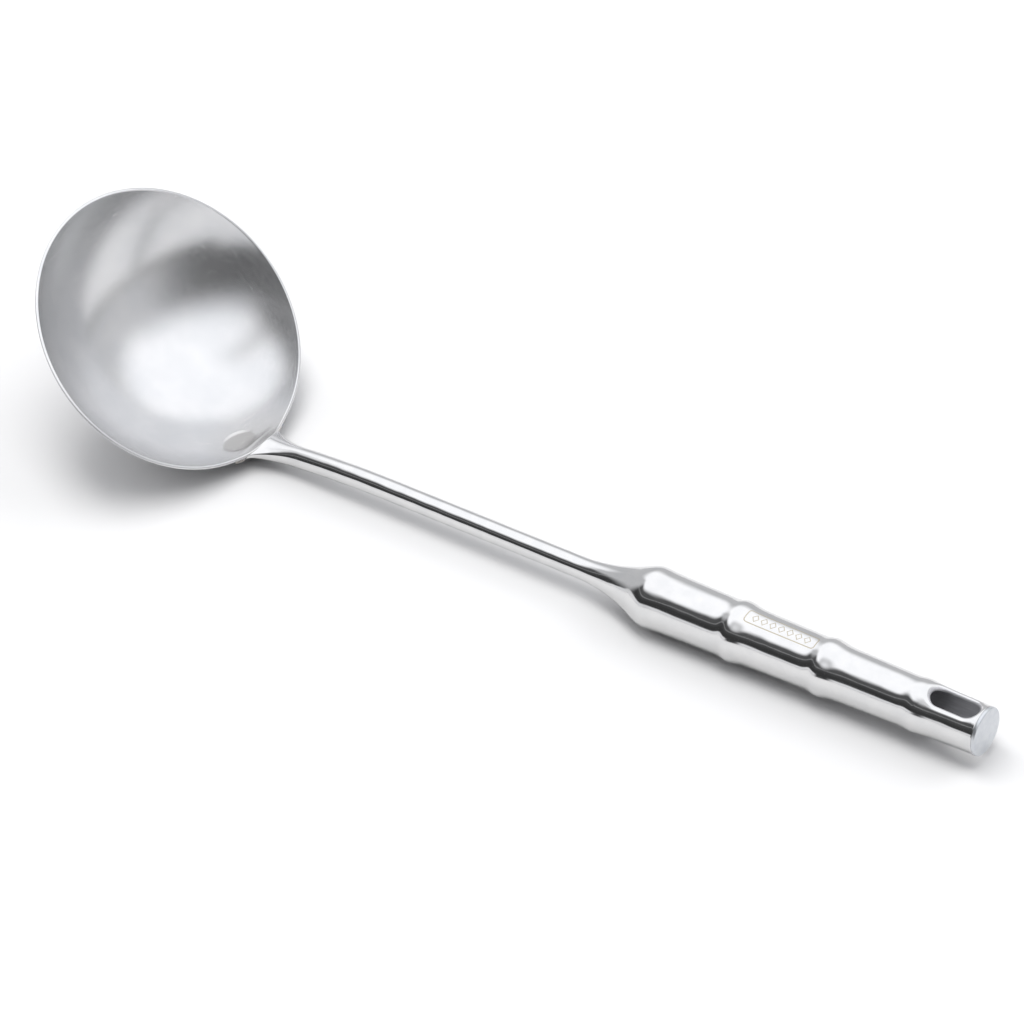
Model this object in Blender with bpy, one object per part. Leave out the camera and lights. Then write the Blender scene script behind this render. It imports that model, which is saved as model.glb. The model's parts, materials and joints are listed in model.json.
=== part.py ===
"""A stainless steel wok ladle with a round bowl, a thin tubular shaft and a hollow grip.

The pieces are built in the ladle's own frame: X runs along the grip's axis, away from the
bowl, and Z is the side that the bowl opens to. The empty "ladle" then lays them on the ground
as the real ladle lies, on the shaft's crushed tongue and on the grip's front shoulder.
"""
import math

import bmesh
import bpy
from mathutils import Vector

# Bowl: a spherical cap of pressed sheet. All lengths are in metres.
RIM_RADIUS = 0.0575
BOWL_DEPTH = 0.0365
SHEET = 0.0012
BOWL_TILT = math.radians(46.0)
RIM_HEIGHT = 0.0380

# Shaft: a round tube whose front end is crushed into a tongue under the bowl
SHAFT_RADIUS = 0.0042
SHAFT_WALL = 0.0010
SHAFT_END = 0.1865
BEND_START = 0.1030
BEND_LENGTH = 0.0530
BEND_DROP = 0.00295
BORE_START = 0.0660
TONGUE_TIP = 0.0236
TONGUE_FLAT = 0.0300
TONGUE_ROUND = 0.0600
TONGUE_HALF_WIDTH = 0.0063
TONGUE_FLOOR = -0.0098
TONGUE_FLOOR_CURVE = 3.6
TONGUE_LIFT = (0.044, 0.058)
TONGUE_NARROWS = (0.040, 0.056)
SECTION_ROUNDS = (0.036, 0.056)
LOZENGE_POWER = 3.2

# Neck of the bowl, which is drawn out over the shaft
NECK_WIDTH = 0.0075
LIP_LENGTH = 0.0040
LIP_WIDTH = 0.0090
NECK_EASE = 0.0040
FIT_GAP = 0.00035

# Grip: a swaged tube with a flared front, three bamboo-like nodes and a hanging slot
JOINT_WELD_LENGTH = 0.0010
GRIP_START = SHAFT_END + JOINT_WELD_LENGTH + 2 * FIT_GAP
GRIP_END = 0.3590
GRIP_WALL = 0.0010
FLARE_START = 0.1880
FLARE_END = 0.2220
FLARE_RISE = 0.00875
FLARE_POWER = 2.1
SHOULDER_RADIUS = 0.01153
SHOULDER_BLEND = 0.0016
SHOULDER_CROWN = 0.00035
SHOULDER_CROWN_LENGTH = 0.0045
GRIP_TAPER = 0.0178
# Each node: place, height, and its spread before and after its crest
NODES = ((0.2587, 0.00090, 0.0021, 0.0031),
         (0.2959, 0.00088, 0.0021, 0.0031),
         (0.3345, 0.00055, 0.0024, 0.0034))
NODE_REACH = 2.6
NODE_TO_NEXT = 0.018
SLOT_CENTRE = 0.3479
SLOT_HALF_LENGTH = 0.0095
SLOT_HALF_WIDTH = 0.0044
SLOT_ARC_STEPS = 12
SLOT_CUTTER_REACH = 0.016

# End cap and welds
CAP_GAP = 0.0003
CAP_THICKNESS = 0.0012
CAP_BEVEL = 0.00035
CAP_SPIGOT = 0.0010
CAP_SPIGOT_BEVEL = 0.0003
BEAD_RADIUS = 0.0009
BEAD_START = 0.0315
BEAD_END = 0.0415
BEAD_SIDE_GAP = 0.0006
BEAD_TOP_GAP = 0.00055
BEAD_LUMP = 0.10
BEAD_LUMPS = 4.5

# Mesh resolution, and the places along the shaft and the grip where sections are drawn
BOWL_SEGMENTS = 72
BOWL_RINGS = 15
NECK_PACKING = 0.6
RIM_PACKING = 0.35
SHAFT_SEGMENTS = 24
GRIP_SEGMENTS = 32
BEAD_SEGMENTS = 12
BEAD_STATIONS = 15
TIP_STEPS = (0.00015, 0.0008, 0.0020, 0.0038, 0.0064)
CRUSHED_START = 0.0325
CRUSHED_STEP = 0.0025
CRUSHED_STATIONS = 13
BEND_STATIONS = (0.070, 0.078, 0.088, 0.098, 0.110, 0.140, SHAFT_END)
FLARE_FIRST = 0.1905
FLARE_STEP = 0.0025
FLARE_STATIONS = 14
BODY_STATIONS = (0.2265, 0.2320, 0.2420)

SPHERE_RADIUS = (RIM_RADIUS ** 2 + BOWL_DEPTH ** 2) / (2 * BOWL_DEPTH)
RIM_ANGLE = math.acos((SPHERE_RADIUS - BOWL_DEPTH) / SPHERE_RADIUS)


def smoothstep(value, low, high):
    """Ease from 0 at low to 1 at high."""
    t = min(max((value - low) / (high - low), 0.0), 1.0)
    return t * t * (3.0 - 2.0 * t)


def mix(a, b, t):
    return a + (b - a) * t


def steel(name, colour, roughness):
    """A metallic Principled material."""
    material = bpy.data.materials.new(name)
    material.use_nodes = True
    shader = material.node_tree.nodes["Principled BSDF"]
    shader.inputs["Base Color"].default_value = (*colour, 1.0)
    shader.inputs["Metallic"].default_value = 1.0
    shader.inputs["Roughness"].default_value = roughness
    return material


def skin(name, rings, material, parent, cyclic=False):
    """Join rings of points into one closed surface.

    A ring of one point is a pole, and a cyclic skin joins its last ring to its first.
    An open skin closes its two end rings with flat faces.
    """
    bm = bmesh.new()
    loops = [[bm.verts.new(point) for point in ring] for ring in rings]
    pairs = list(zip(loops, loops[1:]))
    if cyclic:
        pairs.append((loops[-1], loops[0]))
    for first, second in pairs:
        count = max(len(first), len(second))
        for i in range(count):
            j = (i + 1) % count
            corners = [first[i % len(first)], first[j % len(first)],
                       second[j % len(second)], second[i % len(second)]]
            bm.faces.new(list(dict.fromkeys(corners)))
    if not cyclic:
        for loop in (loops[0], loops[-1]):
            if len(loop) > 2:
                bm.faces.new(loop)
    bmesh.ops.recalc_face_normals(bm, faces=bm.faces)
    mesh = bpy.data.meshes.new(name)
    bm.to_mesh(mesh)
    bm.free()
    mesh.shade_smooth()
    mesh.set_sharp_from_angle(angle=math.radians(35.0))
    mesh.materials.append(material)
    piece = bpy.data.objects.new(name, mesh)
    bpy.context.collection.objects.link(piece)
    piece.parent = parent
    return piece


def turned_ring(x, radius, segments):
    """A circle of points about the X axis."""
    step = 2 * math.pi / segments
    return [Vector((x, radius * math.sin(i * step), radius * math.cos(i * step)))
            for i in range(segments)]


def turned(name, profile, segments, material, parent, cyclic=False):
    """A piece turned about the X axis from (x, radius) pairs, where radius 0 is a pole."""
    rings = [turned_ring(x, radius, segments if radius > 0 else 1) for x, radius in profile]
    return skin(name, rings, material, parent, cyclic)


def bowl_to_ladle(u, v, w):
    """Bowl frame to ladle frame: u points to the neck in the rim's plane, w out of the bowl."""
    return Vector((u * math.cos(BOWL_TILT) + w * math.sin(BOWL_TILT), v,
                   RIM_HEIGHT - u * math.sin(BOWL_TILT) + w * math.cos(BOWL_TILT)))


def bowl_underside(x, y):
    """Height of the plain sphere's outer surface, below its centre."""
    centre = bowl_to_ladle(0.0, 0.0, SPHERE_RADIUS - BOWL_DEPTH)
    return centre.z - math.sqrt(SPHERE_RADIUS ** 2 - (x - centre.x) ** 2 - y ** 2)


def shaft_axis(x):
    """Height of the round shaft's axis, which droops towards the bowl."""
    return -BEND_DROP * (max(BEND_START - x, 0.0) / BEND_LENGTH) ** 2


def shaft_top(x):
    """Height of the shaft's upper line, which dives under the bowl."""
    if x > TONGUE_ROUND:
        return shaft_axis(x) + SHAFT_RADIUS
    under_bowl = bowl_underside(x, 0.0) - FIT_GAP
    return mix(under_bowl, shaft_axis(x) + SHAFT_RADIUS, smoothstep(x, TONGUE_FLAT, TONGUE_ROUND))


def shaft_bottom(x):
    """Height of the shaft's lower line, which curves down to the tongue's floor."""
    floor = TONGUE_FLOOR + TONGUE_FLOOR_CURVE * (x - TONGUE_TIP) ** 2
    return mix(floor, shaft_axis(x) - SHAFT_RADIUS, smoothstep(x, *TONGUE_LIFT))


def shaft_half_width(x):
    """Half the shaft's width, with a round end to the tongue."""
    flat = mix(TONGUE_HALF_WIDTH, SHAFT_RADIUS, smoothstep(x, *TONGUE_NARROWS))
    to_tip = (TONGUE_TIP + TONGUE_HALF_WIDTH - x) / TONGUE_HALF_WIDTH
    return flat * math.sqrt(max(1.0 - max(to_tip, 0.0) ** 2, 0.0))


def shaft_ring(x):
    """A section of the shaft: round, turning into a flat lozenge along the tongue."""
    power = mix(LOZENGE_POWER, 2.0, smoothstep(x, *SECTION_ROUNDS))
    middle = (shaft_top(x) + shaft_bottom(x)) / 2
    half_height = (shaft_top(x) - shaft_bottom(x)) / 2
    ring = []
    for i in range(SHAFT_SEGMENTS):
        angle = 2 * math.pi * i / SHAFT_SEGMENTS
        side, up = math.sin(angle), math.cos(angle)
        stretch = (abs(side) ** power + abs(up) ** power) ** (-1.0 / power)
        ring.append(Vector((x, shaft_half_width(x) * side * stretch,
                            middle + half_height * up * stretch)))
    return ring


def bore_ring(x, radius):
    """A round section of the shaft's bore, on the drooping axis."""
    return [point + Vector((0.0, 0.0, shaft_axis(x)))
            for point in turned_ring(x, radius, SHAFT_SEGMENTS)]


def neck_lift(x, y):
    """How far the sheet is raised to clear the shaft that passes below it."""
    rise = max(shaft_top(x) + FIT_GAP - bowl_underside(x, 0.0), 0.0)
    rise *= smoothstep(x, TONGUE_FLAT, TONGUE_FLAT + NECK_EASE)
    return rise * math.exp(-(y / NECK_WIDTH) ** 2)


def bowl_point(sphere_radius, fraction, heading):
    """A point of the bowl: fraction 0 is the bottom, 1 the rim, and heading 0 the neck."""
    side = RIM_RADIUS * math.sin(heading)
    lip = LIP_LENGTH * math.exp(-(side / LIP_WIDTH) ** 2) if math.cos(heading) > 0 else 0.0
    tilt = fraction * (RIM_ANGLE + lip / SPHERE_RADIUS)
    outer = sphere_point(SPHERE_RADIUS, tilt, heading)
    lift = neck_lift(outer.x, outer.y) if outer.x > TONGUE_FLAT else 0.0
    return sphere_point(sphere_radius, tilt, heading) + Vector((0.0, 0.0, lift))


def sphere_point(radius, tilt, heading):
    """A point of a sphere about the bowl's centre, tilt away from the bowl's bottom."""
    return bowl_to_ladle(radius * math.sin(tilt) * math.cos(heading),
                         radius * math.sin(tilt) * math.sin(heading),
                         SPHERE_RADIUS - BOWL_DEPTH - radius * math.cos(tilt))


def make_bowl(material, parent):
    """The pressed bowl, with its mesh packed closer together at the neck and the rim."""
    steps = [2 * math.pi * i / BOWL_SEGMENTS for i in range(BOWL_SEGMENTS)]
    headings = [step - NECK_PACKING * math.sin(step) for step in steps]
    fractions = [i / BOWL_RINGS for i in range(1, BOWL_RINGS + 1)]
    fractions = [f * (1.0 + RIM_PACKING * (1.0 - f)) for f in fractions]

    def wall(radius):
        rings = [[bowl_point(radius, f, heading) for heading in headings] for f in fractions]
        return [[bowl_point(radius, 0.0, 0.0)]] + rings

    inner = wall(SPHERE_RADIUS - SHEET)
    return skin("bowl", wall(SPHERE_RADIUS) + inner[::-1], material, parent)


def make_shaft(material, parent):
    """The shaft, solid where it is crushed and hollow from there to the grip."""
    tongue = [TONGUE_TIP + step for step in TIP_STEPS]
    crushed = [CRUSHED_START + CRUSHED_STEP * i for i in range(CRUSHED_STATIONS)]
    outer = [shaft_ring(x) for x in (*tongue, *crushed, *BEND_STATIONS)]
    bore = SHAFT_RADIUS - SHAFT_WALL
    inner = [bore_ring(x, bore) for x in BEND_STATIONS[::-1]]
    inner.append(bore_ring(BORE_START, 0.6 * bore))
    return skin("shaft_tube", outer + inner, material, parent)


def smooth_min(a, b, blend):
    """The lesser of two lengths, rounded where they cross."""
    h = max(blend - abs(a - b), 0.0) / blend
    return min(a, b) - h * h * blend / 4


def grip_radius(x):
    """Outer radius of the grip: a flared front, a tapering body and three soft nodes."""
    body = SHOULDER_RADIUS - GRIP_TAPER * (x - FLARE_END)
    body += SHOULDER_CROWN * math.exp(-((x - FLARE_END) / SHOULDER_CROWN_LENGTH) ** 2)
    for place, height, before, after in NODES:
        spread = before if x < place else after
        body += height * math.exp(-0.5 * ((x - place) / spread) ** 2)
    t = max((x - FLARE_START) / (FLARE_END - FLARE_START), 0.0)
    return smooth_min(SHAFT_RADIUS + FLARE_RISE * t ** FLARE_POWER, body, SHOULDER_BLEND)


def grip_stations():
    """Places along the grip where its section is drawn, closer together on its curves."""
    stations = [GRIP_START] + [FLARE_FIRST + FLARE_STEP * i for i in range(FLARE_STATIONS)]
    stations += BODY_STATIONS
    for place, _, before, after in NODES:
        stations += [place - before * k for k in (NODE_REACH, 1.7, 0.9)]
        stations += [place + after * k for k in (0.0, 0.9, 1.7, NODE_REACH)]
        stations.append(place + NODE_TO_NEXT)
    return [x for x in stations if x < GRIP_END - FLARE_STEP] + [GRIP_END]


def slot_cutter(parent):
    """A round-ended prism that runs through both walls of the grip."""
    ring = []
    straight = SLOT_HALF_LENGTH - SLOT_HALF_WIDTH
    for end in (1, -1):
        for i in range(SLOT_ARC_STEPS + 1):
            angle = math.pi * (i / SLOT_ARC_STEPS - 0.5)
            ring.append((SLOT_CENTRE + end * (straight + SLOT_HALF_WIDTH * math.cos(angle)),
                         end * SLOT_HALF_WIDTH * math.sin(angle)))
    rings = [[Vector((x, y, z)) for x, y in ring]
             for z in (-SLOT_CUTTER_REACH, SLOT_CUTTER_REACH)]
    cutter = skin("slot_cutter", rings, steel("cutter", (0.5, 0.5, 0.5), 0.5), parent)
    cutter.hide_render = True
    cutter.display_type = "WIRE"
    return cutter


def make_grip(material, parent):
    """The hollow grip with its hanging slot."""
    stations = grip_stations()
    outer = [(x, grip_radius(x)) for x in stations]
    inner = [(x, grip_radius(x) - GRIP_WALL) for x in stations]
    grip = turned("grip_tube", outer + inner[::-1], GRIP_SEGMENTS, material, parent, cyclic=True)
    slot = grip.modifiers.new("hanging_slot", "BOOLEAN")
    slot.operation = "DIFFERENCE"
    slot.object = slot_cutter(parent)
    return grip


def make_end_cap(material, parent):
    """A flat disc with a softened edge and a spigot that centres it in the grip."""
    radius = grip_radius(GRIP_END)
    spigot = radius - GRIP_WALL - CAP_GAP
    front = GRIP_END + CAP_GAP
    back = front + CAP_THICKNESS
    profile = [(front - CAP_SPIGOT, spigot - CAP_SPIGOT_BEVEL),
               (front - CAP_SPIGOT + CAP_SPIGOT_BEVEL, spigot),
               (front, spigot), (front, radius), (back - CAP_BEVEL, radius),
               (back - 0.3 * CAP_BEVEL, radius - 0.3 * CAP_BEVEL), (back, radius - CAP_BEVEL)]
    return turned("end_cap", profile, GRIP_SEGMENTS, material, parent)


def make_joint_weld(material, parent):
    """The ring of weld metal, ground flush, between the shaft and the grip."""
    start = SHAFT_END + FIT_GAP
    end = start + JOINT_WELD_LENGTH
    bore = SHAFT_RADIUS - SHAFT_WALL
    profile = [(start, bore), (start, SHAFT_RADIUS), (end, SHAFT_RADIUS), (end, bore)]
    return turned("joint_weld_ring", profile, SHAFT_SEGMENTS, material, parent, cyclic=True)


def make_neck_weld(name, side, material, parent):
    """A lumpy bead of weld metal in the groove between the tongue's edge and the bowl."""
    rings = []
    for i in range(BEAD_STATIONS):
        t = i / (BEAD_STATIONS - 1)
        x = mix(BEAD_START, BEAD_END, t)
        y = side * (shaft_half_width(x) + BEAD_RADIUS + BEAD_SIDE_GAP)
        lumps = 1.0 - BEAD_LUMP + BEAD_LUMP * math.sin(2 * math.pi * BEAD_LUMPS * t)
        radius = BEAD_RADIUS * lumps * math.sqrt(max(1.0 - (2 * t - 1) ** 4, 0.03))
        z = bowl_underside(x, y) + neck_lift(x, y) - BEAD_TOP_GAP - BEAD_RADIUS
        rings.append([Vector((x, y, z)) + point
                      for point in turned_ring(0.0, radius, BEAD_SEGMENTS)])
    return skin(name, rings, material, parent)


def world_points(pieces):
    bpy.context.view_layer.update()
    return [piece.matrix_world @ vertex.co for piece in pieces for vertex in piece.data.vertices]


def lay_down(ladle, pieces):
    """Turn and shift the ladle so that it lies on Z = 0, centred on the origin."""
    for _ in range(4):
        points = world_points(pieces)
        middle = ladle.matrix_world @ Vector((GRIP_START, 0.0, 0.0))
        front = min((p for p in points if p.x < middle.x), key=lambda p: p.z)
        back = min((p for p in points if p.x > middle.x), key=lambda p: p.z)
        ladle.rotation_euler.y += math.atan2(back.z - front.z, back.x - front.x)
    points = world_points(pieces)
    middle_x = (min(p.x for p in points) + max(p.x for p in points)) / 2
    ladle.location = (-middle_x, 0.0, -min(p.z for p in points))


def main():
    for item in list(bpy.data.objects):
        bpy.data.objects.remove(item, do_unlink=True)
    ladle = bpy.data.objects.new("ladle", None)
    bpy.context.collection.objects.link(ladle)

    satin = steel("satin_bowl", (0.60, 0.60, 0.60), 0.28)
    polished = steel("polished_tube", (0.64, 0.64, 0.64), 0.08)
    brushed = steel("brushed_cap", (0.56, 0.57, 0.60), 0.40)
    weld = steel("weld_metal", (0.45, 0.44, 0.43), 0.45)

    pieces = [make_bowl(satin, ladle),
              make_shaft(polished, ladle),
              make_joint_weld(polished, ladle),
              make_grip(polished, ladle),
              make_end_cap(brushed, ladle),
              make_neck_weld("neck_weld_left", 1, weld, ladle),
              make_neck_weld("neck_weld_right", -1, weld, ladle)]
    lay_down(ladle, pieces)


main()
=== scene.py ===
"""The looks of the stainless steel wok ladle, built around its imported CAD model.

Every piece is drawn in the ladle's own frame, where X runs along the grip's axis away from the
bowl and Z is the side that the bowl opens to, and is then moved to the row frame, where the
ladle lies on the ground. All lengths are in metres.
"""

import json
import math

import bmesh
import bpy
from mathutils import Matrix, Vector

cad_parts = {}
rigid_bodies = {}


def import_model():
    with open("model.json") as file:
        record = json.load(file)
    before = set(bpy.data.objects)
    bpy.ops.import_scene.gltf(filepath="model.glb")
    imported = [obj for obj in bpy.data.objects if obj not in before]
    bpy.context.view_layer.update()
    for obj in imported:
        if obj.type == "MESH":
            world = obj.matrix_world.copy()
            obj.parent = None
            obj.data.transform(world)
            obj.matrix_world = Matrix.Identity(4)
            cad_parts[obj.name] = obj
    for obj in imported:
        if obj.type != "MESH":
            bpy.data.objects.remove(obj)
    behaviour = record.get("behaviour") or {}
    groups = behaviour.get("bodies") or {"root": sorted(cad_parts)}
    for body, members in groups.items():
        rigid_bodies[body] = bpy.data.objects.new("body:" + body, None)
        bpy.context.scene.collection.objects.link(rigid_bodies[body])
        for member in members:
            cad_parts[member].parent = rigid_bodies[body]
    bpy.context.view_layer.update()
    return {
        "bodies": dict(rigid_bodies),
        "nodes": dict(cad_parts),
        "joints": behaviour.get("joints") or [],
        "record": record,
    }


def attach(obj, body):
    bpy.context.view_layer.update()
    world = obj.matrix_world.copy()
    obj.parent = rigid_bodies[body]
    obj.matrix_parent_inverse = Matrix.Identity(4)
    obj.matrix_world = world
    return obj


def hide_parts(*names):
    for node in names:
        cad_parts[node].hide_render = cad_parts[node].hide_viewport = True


# Bowl: a cap of pressed sheet, eased from the CAD model's sphere towards a parabola
RIM_RADIUS = 0.0575
BOWL_DEPTH = 0.0365
SHEET = 0.0012
BOWL_TILT = math.radians(46.0)
RIM_HEIGHT = 0.0380
SPHERE_RADIUS = (RIM_RADIUS ** 2 + BOWL_DEPTH ** 2) / (2 * BOWL_DEPTH)
RIM_ANGLE = math.acos((SPHERE_RADIUS - BOWL_DEPTH) / SPHERE_RADIUS)
CENTRE_RISE = SPHERE_RADIUS - BOWL_DEPTH
RIM_CORNER = 0.00030
PARABOLA_SHARE = 0.4

# Neck: the sheet is drawn out over the shaft, and a press mark sits over the tongue
NECK_WIDTH = 0.0075
LIP_LENGTH = 0.0040
LIP_WIDTH = 0.0090
RISE_START = 0.0300
RISE_END = 0.0370
LIP_RISE = 0.0011
LIP_RISE_LENGTH = 0.0070
RIDGE_PLACE = 0.0372
RIDGE_HEIGHT = 0.00035
RIDGE_LENGTH = 0.0011
MARK_PLACE = (0.0302, -0.0026)
MARK_SIZE = (0.0064, 0.0080)
MARK_DEPTH = 0.00030
MARK_EDGE = (0.74, 1.10)

# Shaft and its crushed tongue
SHAFT_RADIUS = 0.0042
SHAFT_WALL = 0.0010
SHAFT_END = 0.1865
BEND_START = 0.1030
BEND_LENGTH = 0.0530
BEND_DROP = 0.00295
TONGUE_TIP = 0.0236
TONGUE_FLAT = 0.0300
TONGUE_ROUND = 0.0600
TONGUE_HALF_WIDTH = 0.0063
TONGUE_FLOOR = -0.0098
TONGUE_FLOOR_CURVE = 3.6
TONGUE_LIFT = (0.044, 0.058)
TONGUE_POWER = 3.2
FIT_GAP = 0.00035

# Collar: the shaft's flattened mouth, which spreads out under the bowl's lip
COLLAR_HALF_WIDTH = 0.0100
COLLAR_END = 0.0580
COLLAR_EDGE = 0.0011
COLLAR_STEP = 0.00012
COLLAR_GAP = 0.00005
COLLAR_BELLY_WIDTH = 0.0062
COLLAR_SECTION_POWER = 0.55
COLLAR_SIDE_LEAVE = 0.25
COLLAR_SIDE_ARRIVE = 1.5
COLLAR_SIDE_CLOSING = 0.85

# Grip
GRIP_START = 0.1882
GRIP_END = 0.35925
GRIP_WALL = 0.0010
FLARE_START = 0.1880
FLARE_END = 0.2220
FLARE_RISE = 0.00875
FLARE_POWER = 2.1
SHOULDER_RADIUS = 0.01153
SHOULDER_BLEND = 0.0016
SHOULDER_CROWN = 0.00035
SHOULDER_CROWN_WIDTH = 0.0045
FLARE_REACH = 0.0060
GRIP_TAPER = 0.0178
# Each node: its place, its height, and its spread before and after it
NODES = ((0.2587, 0.00090, 0.0021, 0.0031),
         (0.2959, 0.00088, 0.0021, 0.0031),
         (0.3345, 0.00055, 0.0024, 0.0034))
SLOT_CENTRE = 0.3479
SLOT_HALF_LENGTH = 0.0096
SLOT_HALF_WIDTH = 0.0045
SLOT_DISH = 0.0011
SLOT_DISH_WIDTH = 0.0022
SLOT_ROLL = 0.00025
SLOT_ROLL_STEPS = ((0.6, 0.25), (1.0, 0.55), (0.9, 0.85))
SLOT_REGION = (0.3350, 0.3589)
EDGE_BREAK = 0.0001
BORE_FACE_SHARE = 0.6

# Etched label on the grip
PLATE_PLACE = 0.2775
PLATE_ANGLE = math.radians(-6.0)
PLATE_HALF_LENGTH = 0.0145
PLATE_HALF_WIDTH = 0.0027
PLATE_CORNER = 0.0011
PLATE_LINE = 0.00021
PLATE_MARGIN = 0.0022
LOZENGE_PITCH = 0.0036
LOZENGE_HALF_SIZE = (0.00125, 0.00155)
LOZENGE_LINE = 0.16

# End cap
CAP_START = 0.35930
CAP_END = 0.3605
CAP_BEVEL = 0.00045
CAP_UNDERSIZE = 0.00002
CAP_FACE_SHARES = (0.6, 0.3)
SPIGOT_DEPTH = 0.0010
SPIGOT_GAP = 0.0003

# Weld beads
BEAD_RADIUS = 0.0009
BEAD_GAP = 0.0004
BEAD_SINK = 0.6
BEAD_TURN = 0.55
BEAD_ALONG_TONGUE = (0.0315, 0.0392)
BEAD_END_WIDTH = 0.0150
BEAD_BEHIND_LIP = (0.0016, 0.0002)
BEAD_SIZE = 0.90
BEAD_RIPPLE = (0.10, 11)
BEAD_WAVE = (0.07, 4.3)
BEAD_END_POWER = 6
BEAD_LEAST_END = 0.02
BEAD_PROBE = 0.01

# Mesh resolution
BOWL_SEGMENTS = 288
BOWL_RINGS = 96
TUBE_SEGMENTS = 128
SLOT_SPAN = 20
SLOT_RINGS = 30
SLOT_SHARES = (0.0, 0.04, 0.09, 0.15, 0.22, 0.31, 0.42, 0.55, 0.70, 0.85)
HEADING_PACKING = 0.72
RING_PACKING = 0.45
MILLIMETRE = 0.001
TIP_STEPS_MM = (0.1, 0.3, 0.8, 1.6, 2.8, 4.4, 6.4)
TONGUE_BACK_START = 0.0325
TONGUE_BACK_STEP = 0.0015
TONGUE_BACK_RINGS = 4
COLLAR_RINGS = 36
BEND_STEP = 0.0012
BEND_RINGS = 34
STRAIGHT_STATIONS = (0.1050, 0.1080, 0.1120, 0.1200, 0.1400, 0.1600)
BORE_STRIDE = 3
BORE_TIP_SHARE = 0.6
FRONT_STEP = 0.0007
FRONT_RINGS = 60
BODY_STEP = 0.0008
BODY_STOP = 0.0012
CAP_BEVEL_STEPS = 8
BEAD_RINGS = 90
BEAD_SEGMENTS = 24

# Surfaces, tuned to the photo. Most noise values lie in NOISE_BAND.
NOISE_BAND = (0.3, 0.7)
SHAFT_ROUGHNESS = 0.06
GRIP_ROUGHNESS = 0.08
BOWL_METALLIC = 0.90
BORE_METALLIC = 0.75
BOWL_BUMP = 0.000003
POLISH_BUMP = 0.00012
CAP_BUMP = 0.00002
WELD_BUMP = 0.0003
LABEL_COLOUR = (0.50, 0.455, 0.36, 1.0)
LABEL_ROUGHER = 0.30
WARM_COLOUR = (0.60, 0.585, 0.56, 1.0)
WARM_PLACE = (0.036, 0.0, -0.004)
WARM_REACH = (0.004, 0.022)
WARM_SHARE = 0.55
# The bowl's base colour is darker over the press mark, fading out at the oval's edge
MARK_COLOUR = (0.46, 0.45, 0.435, 1.0)
MARK_COLOUR_EDGE = (0.80, 1.0)
MARK_COLOUR_SHARE = 0.75

# Studio
FLOOR_HALF_SIZE = 6.0
KEY_SIZE = (1.3, 0.45)
KEY_ENERGY = 15.5
KEY_COLOUR = (1.0, 0.992, 0.975)
KEY_PLACE = (-0.05, -0.10, 1.25)
FILL_SIZE = 1.0
FILL_LIGHTS = (("left_fill", (-1.3, -0.35, 0.75), 10.0), ("back_fill", (0.9, 0.9, 0.8), 10.0))
CARD_RADIUS = 0.50
CARD_HEIGHT = 0.060
CARD_HEADINGS = (math.radians(-55.0), math.radians(60.0))
CARD_FOOT = 0.0005
CARD_STEPS = 40
CARD_FADE = (-0.33, 0.05)
CARD_TONES = (0.04, 0.48)

# World: levels of light, and where each part starts and ends. X, Y and Z are the world
# direction's own, and a heading is the Y of its level part. Pairs for a side are (right, left).
LEFT_FADE_X = (-0.35, 0.25)
BACK_FADE_HEADING = (0.0, 0.5)
WALL_LEVEL = 0.68
WALL_START = (-0.85, -0.45)
WALL_END = (0.05, -0.10)
ROOM_FADE_Z = (0.30, 0.62)
ROOM_LEVELS = (0.05, 0.11)
BAR_Z = 0.535
BAR_WIDTH = 0.016
BAR_LEVEL = 0.28
HAZE_FADE_Z = (0.10, 0.16)
HAZE_FADE_X = (-0.35, -0.15)
HAZE_LEVEL = 0.9
TOP_LEVEL = 1.45
TOP_START = (0.42, 0.69)
TOP_END = (0.80, 0.84)
TOP_AT_BACK = (0.35, 0.70)
SPUR_SLOPE = 0.268
SPUR_WIDTH = 0.13
SPUR_FADE_Y = (-0.45, -0.10)
SPUR_DEPTH = 0.45
WORLD_TINT = (0.975, 0.985, 1.015)

# Camera, in the ladle's frame
CAMERA_PLACE = Vector((0.8750, -0.8920, 0.9387))
CAMERA_YAW = math.radians(-38.74)
CAMERA_PITCH = math.radians(38.97)
CAMERA_ROLL = math.radians(-4.9)
CAMERA_LENS = 140.6
SENSOR_WIDTH = 36.0
CAMERA_CLIP = (0.05, 50.0)


# ---------------------------------------------------------------- small helpers

def smoothstep(value, low, high):
    """Ease from 0 at low to 1 at high."""
    t = min(max((value - low) / (high - low), 0.0), 1.0)
    return t * t * (3.0 - 2.0 * t)


def mix(a, b, t):
    """From a at 0 to b at 1."""
    return a + (b - a) * t


def bell(value, width):
    """A bell curve of height 1 around 0."""
    return math.exp(-(value / width) ** 2)


def ladle_matrix(record):
    """Ladle frame to row frame, from the mount on the end cap's face."""
    face = next(m for m in record["mounts"] if m["name"] == "end_cap_face")
    along = Vector(face["axis"]).normalized()
    across = Vector((0.0, 1.0, 0.0))
    up = along.cross(across)
    turn = Matrix((along, across, up)).transposed().to_4x4()
    return Matrix.Translation(Vector(face["pos_m"]) - along * CAP_END) @ turn


def piece_from(name, bm, material, sharp_angle=40.0):
    """A named piece from a bmesh in the ladle frame. Its points keep their ladle places as an attribute."""
    bmesh.ops.recalc_face_normals(bm, faces=bm.faces)
    mesh = bpy.data.meshes.new(name)
    bm.to_mesh(mesh)
    bm.free()
    places = mesh.attributes.new("ladle", "FLOAT_VECTOR", "POINT")
    places.data.foreach_set("vector", [c for v in mesh.vertices for c in v.co])
    mesh.transform(LADLE)
    mesh.shade_smooth()
    mesh.set_sharp_from_angle(angle=math.radians(sharp_angle))
    mesh.materials.append(material)
    piece = bpy.data.objects.new(name, mesh)
    bpy.context.collection.objects.link(piece)
    return piece


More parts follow.
